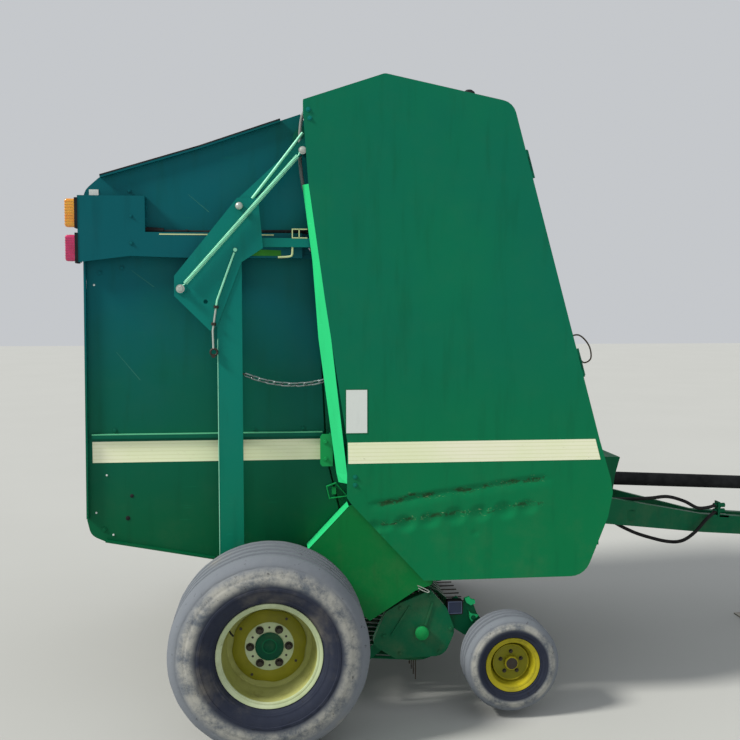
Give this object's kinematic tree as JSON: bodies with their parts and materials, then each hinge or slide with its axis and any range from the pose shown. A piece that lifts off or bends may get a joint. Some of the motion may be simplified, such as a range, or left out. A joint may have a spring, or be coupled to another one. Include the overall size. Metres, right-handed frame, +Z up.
{
  "type": "round baler",
  "caption": "Towed round baler with belt chamber, hinged tailgate, lifting tined pickup, side shields, gauge wheels and a tongue on its jack.",
  "frame": {"origin": "on the floor, under the middle of the overall length and width", "axes": "+X forward to the hitch, +Y to the machine's left, +Z up"},
  "size_m": [3.999, 2.573, 2.691],
  "materials": {
    "green_paint": "weathered agricultural green enamel, satin",
    "bright_green": "green enamel on the shields, with dents and dust",
    "yellow_paint": "faded yellow wheel enamel",
    "tyre": "worn implement tyre, dusty",
    "belt": "ribbed rubber belting",
    "roller": "bale-polished steel",
    "galvanised": "dull galvanised steel",
    "amber": "amber lens",
    "red": "red lens",
    "black_rubber": "black rubber",
    "black_plastic": "black moulded shield tube",
    "rod_chrome": "chromed cylinder rod",
    "dark_steel": "bare working steel",
    "jack_grey": "dark grey enamel"
  },
  "bodies": {
    "root": {"main_frame": "green_paint", "front_wall_right": "green_paint", "front_wall_left": "green_paint", "lower_panel_right": "bright_green", "lower_panel_left": "bright_green", "post_right": "green_paint", "post_left": "green_paint", "brace_right": "green_paint", "brace_left": "green_paint", "tension_springs": "green_paint", "safety_chains": "galvanised", "front_rollers": "roller", "front_belts": "belt", "tongue": "green_paint", "hitch_clevis": "green_paint", "jack_tube": "jack_grey", "gearbox": "green_paint", "driveline_guard": "green_paint", "driveline_tube": "black_plastic"},
    "gate": {"gate_wall_right": "green_paint", "gate_wall_left": "green_paint", "gate_frame": "green_paint", "gate_beam_right": "green_paint", "gate_beam_left": "green_paint", "gate_rollers": "roller", "gate_belts": "belt", "lamp_housings": "black_rubber", "amber_lenses": "amber", "red_lenses": "red"},
    "cylinder_right": {"gate_cylinder_right": "green_paint"},
    "cylinder_left": {"gate_cylinder_left": "green_paint"},
    "rod_right": {"gate_rod_right": "rod_chrome"},
    "rod_left": {"gate_rod_left": "rod_chrome"},
    "shield_right": {"shield_right": "bright_green"},
    "shield_left": {"shield_left": "bright_green"},
    "pickup": {"pickup_frame": "green_paint", "pickup_bands": "green_paint", "pickup_cover_right": "green_paint", "pickup_cover_left": "green_paint"},
    "reel": {"pickup_reel": "dark_steel"},
    "gauge_wheel_right": {"gauge_tyre_right": "tyre", "gauge_rim_right": "yellow_paint"},
    "gauge_wheel_left": {"gauge_tyre_left": "tyre", "gauge_rim_left": "yellow_paint"},
    "wheel_right": {"tyre_right": "tyre", "rim_right": "yellow_paint"},
    "wheel_left": {"tyre_left": "tyre", "rim_left": "yellow_paint"},
    "jack": {"jack_leg": "galvanised"},
    "driveline": {"driveline_yoke": "dark_steel"}
  },
  "joints": [
    {"name": "wheel_right_spin", "type": "hinge", "parent": "root", "child": "wheel_right", "pos_m": [-1.1805, -1.115, 0.3935], "axis": [0, 1, 0], "continuous": true},
    {"name": "wheel_left_spin", "type": "hinge", "parent": "root", "child": "wheel_left", "pos_m": [-1.1805, 1.115, 0.3935], "axis": [0, 1, 0], "continuous": true},
    {"name": "gate_open", "type": "hinge", "parent": "root", "child": "gate", "pos_m": [-1.0155, 0, 2.44], "axis": [0, 1, 0], "range_deg": [0, 68]},
    {"name": "gate_cylinder_right_turn", "type": "hinge", "parent": "root", "child": "cylinder_right", "pos_m": [-0.6205, -0.816, 1.3], "axis": [0, 1, 0], "range_deg": [-13.1, 0]},
    {"name": "gate_rod_right_slide", "type": "slide", "parent": "cylinder_right", "child": "rod_right", "axis": [-0.4626, 0, 0.8866], "range_m": [0, 0.4567]},
    {"name": "gate_cylinder_left_turn", "type": "hinge", "parent": "root", "child": "cylinder_left", "pos_m": [-0.6205, 0.816, 1.3], "axis": [0, 1, 0], "range_deg": [-13.1, 0]},
    {"name": "gate_rod_left_slide", "type": "slide", "parent": "cylinder_left", "child": "rod_left", "axis": [-0.4626, 0, 0.8866], "range_m": [0, 0.4567]},
    {"name": "shield_right_swing", "type": "hinge", "parent": "root", "child": "shield_right", "pos_m": [0.25099, -0.88, 1.16774], "axis": [-0.267, 0, 0.9637], "range_deg": [0, 95]},
    {"name": "shield_left_swing", "type": "hinge", "parent": "root", "child": "shield_left", "pos_m": [0.25099, 0.88, 1.16774], "axis": [0.267, 0, -0.9637], "range_deg": [0, 95]},
    {"name": "pickup_lift", "type": "hinge", "parent": "root", "child": "pickup", "pos_m": [-0.6205, 0, 0.476], "axis": [0, -1, 0], "range_deg": [0, 12]},
    {"name": "reel_spin", "type": "hinge", "parent": "pickup", "child": "reel", "pos_m": [-0.5285, 0, 0.34], "axis": [0, 1, 0], "continuous": true},
    {"name": "gauge_wheel_right_spin", "type": "hinge", "parent": "pickup", "child": "gauge_wheel_right", "pos_m": [-0.1615, -0.955, 0.233], "axis": [0, 1, 0], "continuous": true},
    {"name": "gauge_wheel_left_spin", "type": "hinge", "parent": "pickup", "child": "gauge_wheel_left", "pos_m": [-0.1615, 0.955, 0.233], "axis": [0, 1, 0], "continuous": true},
    {"name": "jack_slide", "type": "slide", "parent": "root", "child": "jack", "axis": [0, 0, 1], "range_m": [0, 0.2]},
    {"name": "driveline_spin", "type": "hinge", "parent": "root", "child": "driveline", "pos_m": [0.5195, 0, 0.836], "axis": [0.9987, 0, -0.05], "continuous": true}
  ],
  "couplings": [
    {"joint": "gate_cylinder_right_turn", "follows": "gate_open", "ratio": -0.18892},
    {"joint": "gate_rod_right_slide", "follows": "gate_open", "m_per_rad": 0.38315},
    {"joint": "gate_cylinder_left_turn", "follows": "gate_open", "ratio": -0.18892},
    {"joint": "gate_rod_left_slide", "follows": "gate_open", "m_per_rad": 0.38315}
  ]
}
